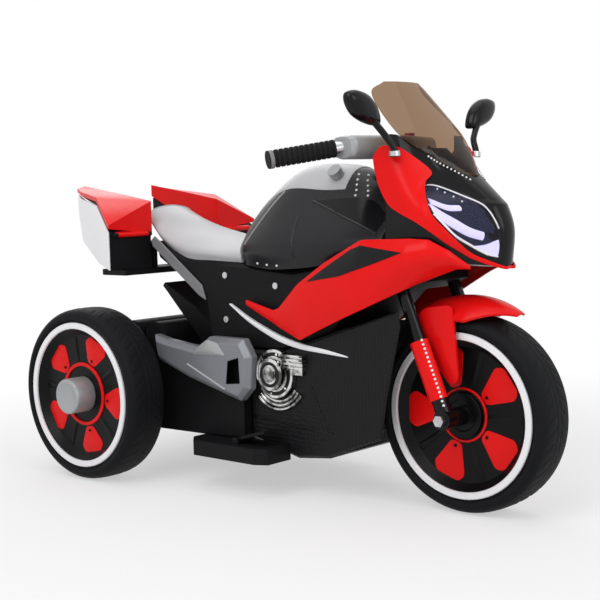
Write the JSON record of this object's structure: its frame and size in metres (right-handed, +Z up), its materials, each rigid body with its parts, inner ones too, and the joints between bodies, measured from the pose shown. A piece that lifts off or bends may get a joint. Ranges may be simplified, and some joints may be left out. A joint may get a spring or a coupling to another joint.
{
  "type": "ride-on motorbike",
  "caption": "Child's electric ride-on motorbike with a steered front wheel, driven rear wheels, saddle, windscreen, side panniers and foot boards.",
  "frame": {"origin": "on the ground, midway between the front and rear axles, on the centre plane", "axes": "+X forward, +Y to the left, +Z up; the wheels spin about Y"},
  "size_m": [1.0654, 0.554, 0.7213],
  "materials": {
    "tyre_black": "hard moulded tyre, matt",
    "rim_black": "black moulded plastic",
    "wheel_trim": "red inserts with a white ring and a grey cap",
    "red_panel": "glossy red moulding",
    "body_black": "grained black moulding",
    "window_black": "glossy black moulding",
    "tank_grey": "glossy dark grey moulding",
    "pale_grey": "pale grey moulding",
    "silver_grey": "silver grey moulding",
    "bright_chrome": "plated",
    "white_panel": "white moulding",
    "smoked_screen": "smoked clear plastic",
    "lamp_lens": "clear lens",
    "steel": "zinc plated",
    "grip_black": "ribbed",
    "bush_white": "plain bearing plastic",
    "button_red": "red button"
  },
  "bodies": {
    "chassis": {"axle_housing": "body_black", "battery": "body_black", "belly_fairing_left": "body_black", "belly_fairing_right": "body_black", "body_screws": "bright_chrome", "body_shell_left": "body_black", "body_shell_right": "body_black", "charging_socket": "body_black", "control_board": "body_black", "dash_panel": "body_black", "drive_units": "body_black", "engine_covers": "bright_chrome", "fairing_trims": "pale_grey", "fairing_windows": "window_black", "footrests": "body_black", "headlight_housing": "body_black", "headlight_lenses": "lamp_lens", "nose_cowl": "red_panel", "pannier_box_left": "body_black", "pannier_box_right": "body_black", "pannier_panels": "white_panel", "pannier_rack": "body_black", "rear_axle": "steel", "rear_mudguard": "body_black", "seat": "pale_grey", "side_fairing_left": "red_panel", "side_fairing_right": "red_panel", "steering_bushes": "bush_white", "subframe_rails": "pale_grey", "swingarm_covers": "silver_grey", "tank_cap": "bright_chrome", "tank_cover": "tank_grey", "tank_top_panel": "pale_grey", "windscreen": "smoked_screen"},
    "steering": {"steering_stem": "body_black", "fork_leg_right": "body_black", "fork_leg_left": "body_black", "fork_strips": "red_panel", "front_mudguard": "red_panel", "front_axle": "steel", "handlebar": "steel", "handlebar_cover": "silver_grey", "grip_right": "grip_black", "grip_left": "grip_black"},
    "horn": {"horn_button": "button_red"},
    "front_wheel": {"front_tyre": "tyre_black", "front_rim": "rim_black", "front_wheel_trim": "wheel_trim"},
    "rear_wheel_right": {"rear_tyre_right": "tyre_black", "rear_rim_right": "rim_black", "rear_wheel_trim_right": "wheel_trim"},
    "rear_wheel_left": {"rear_tyre_left": "tyre_black", "rear_rim_left": "rim_black", "rear_wheel_trim_left": "wheel_trim"},
    "right_mirror": {"mirror_right": "window_black"},
    "left_mirror": {"mirror_left": "window_black"},
    "right_lid": {"pannier_lid_right": "red_panel"},
    "left_lid": {"pannier_lid_left": "red_panel"},
    "pedal": {"accelerator_pedal": "body_black"},
    "switch": {"direction_switch": "body_black"}
  },
  "joints": [
    {"name": "steering_turn", "type": "hinge", "parent": "chassis", "child": "steering", "pos_m": [0.3677, 0, 0.165], "axis": [-0.3746, 0, 0.9272], "range_deg": [-20, 20]},
    {"name": "front_wheel_spin", "type": "hinge", "parent": "steering", "child": "front_wheel", "pos_m": [0.3677, 0, 0.165], "axis": [0, 1, 0], "continuous": true},
    {"name": "rear_wheel_right_spin", "type": "hinge", "parent": "chassis", "child": "rear_wheel_right", "pos_m": [-0.3677, -0.21, 0.165], "axis": [0, 1, 0], "continuous": true},
    {"name": "rear_wheel_left_spin", "type": "hinge", "parent": "chassis", "child": "rear_wheel_left", "pos_m": [-0.3677, 0.21, 0.165], "axis": [0, 1, 0], "continuous": true},
    {"name": "right_mirror_turn", "type": "hinge", "parent": "chassis", "child": "right_mirror", "pos_m": [0.3037, -0.115, 0.593], "axis": [0, 0, 1], "range_deg": [-25, 25]},
    {"name": "left_mirror_turn", "type": "hinge", "parent": "chassis", "child": "left_mirror", "pos_m": [0.3037, 0.115, 0.593], "axis": [0, 0, 1], "range_deg": [-25, 25]},
    {"name": "right_lid_open", "type": "hinge", "parent": "chassis", "child": "right_lid", "pos_m": [-0.3132, -0.144, 0.468], "axis": [0, 1, 0], "range_deg": [0, 60]},
    {"name": "left_lid_open", "type": "hinge", "parent": "chassis", "child": "left_lid", "pos_m": [-0.3132, 0.144, 0.468], "axis": [0, 1, 0], "range_deg": [0, 60]},
    {"name": "pedal_press", "type": "hinge", "parent": "chassis", "child": "pedal", "pos_m": [-0.032, -0.1423, 0.099], "axis": [0, 1, 0], "range_deg": [0, 12], "stiffness_Nm_per_rad": 1.5, "springref_deg": -11.46},
    {"name": "switch_rock", "type": "hinge", "parent": "chassis", "child": "switch", "pos_m": [0.2727, 0.03, 0.602], "axis": [0, 1, 0], "range_deg": [-12, 12]},
    {"name": "horn_press", "type": "slide", "parent": "steering", "child": "horn", "axis": [0, 0, -1], "range_m": [0, 0.0025], "stiffness_N_per_m": 800, "springref_m": -0.002}
  ]
}
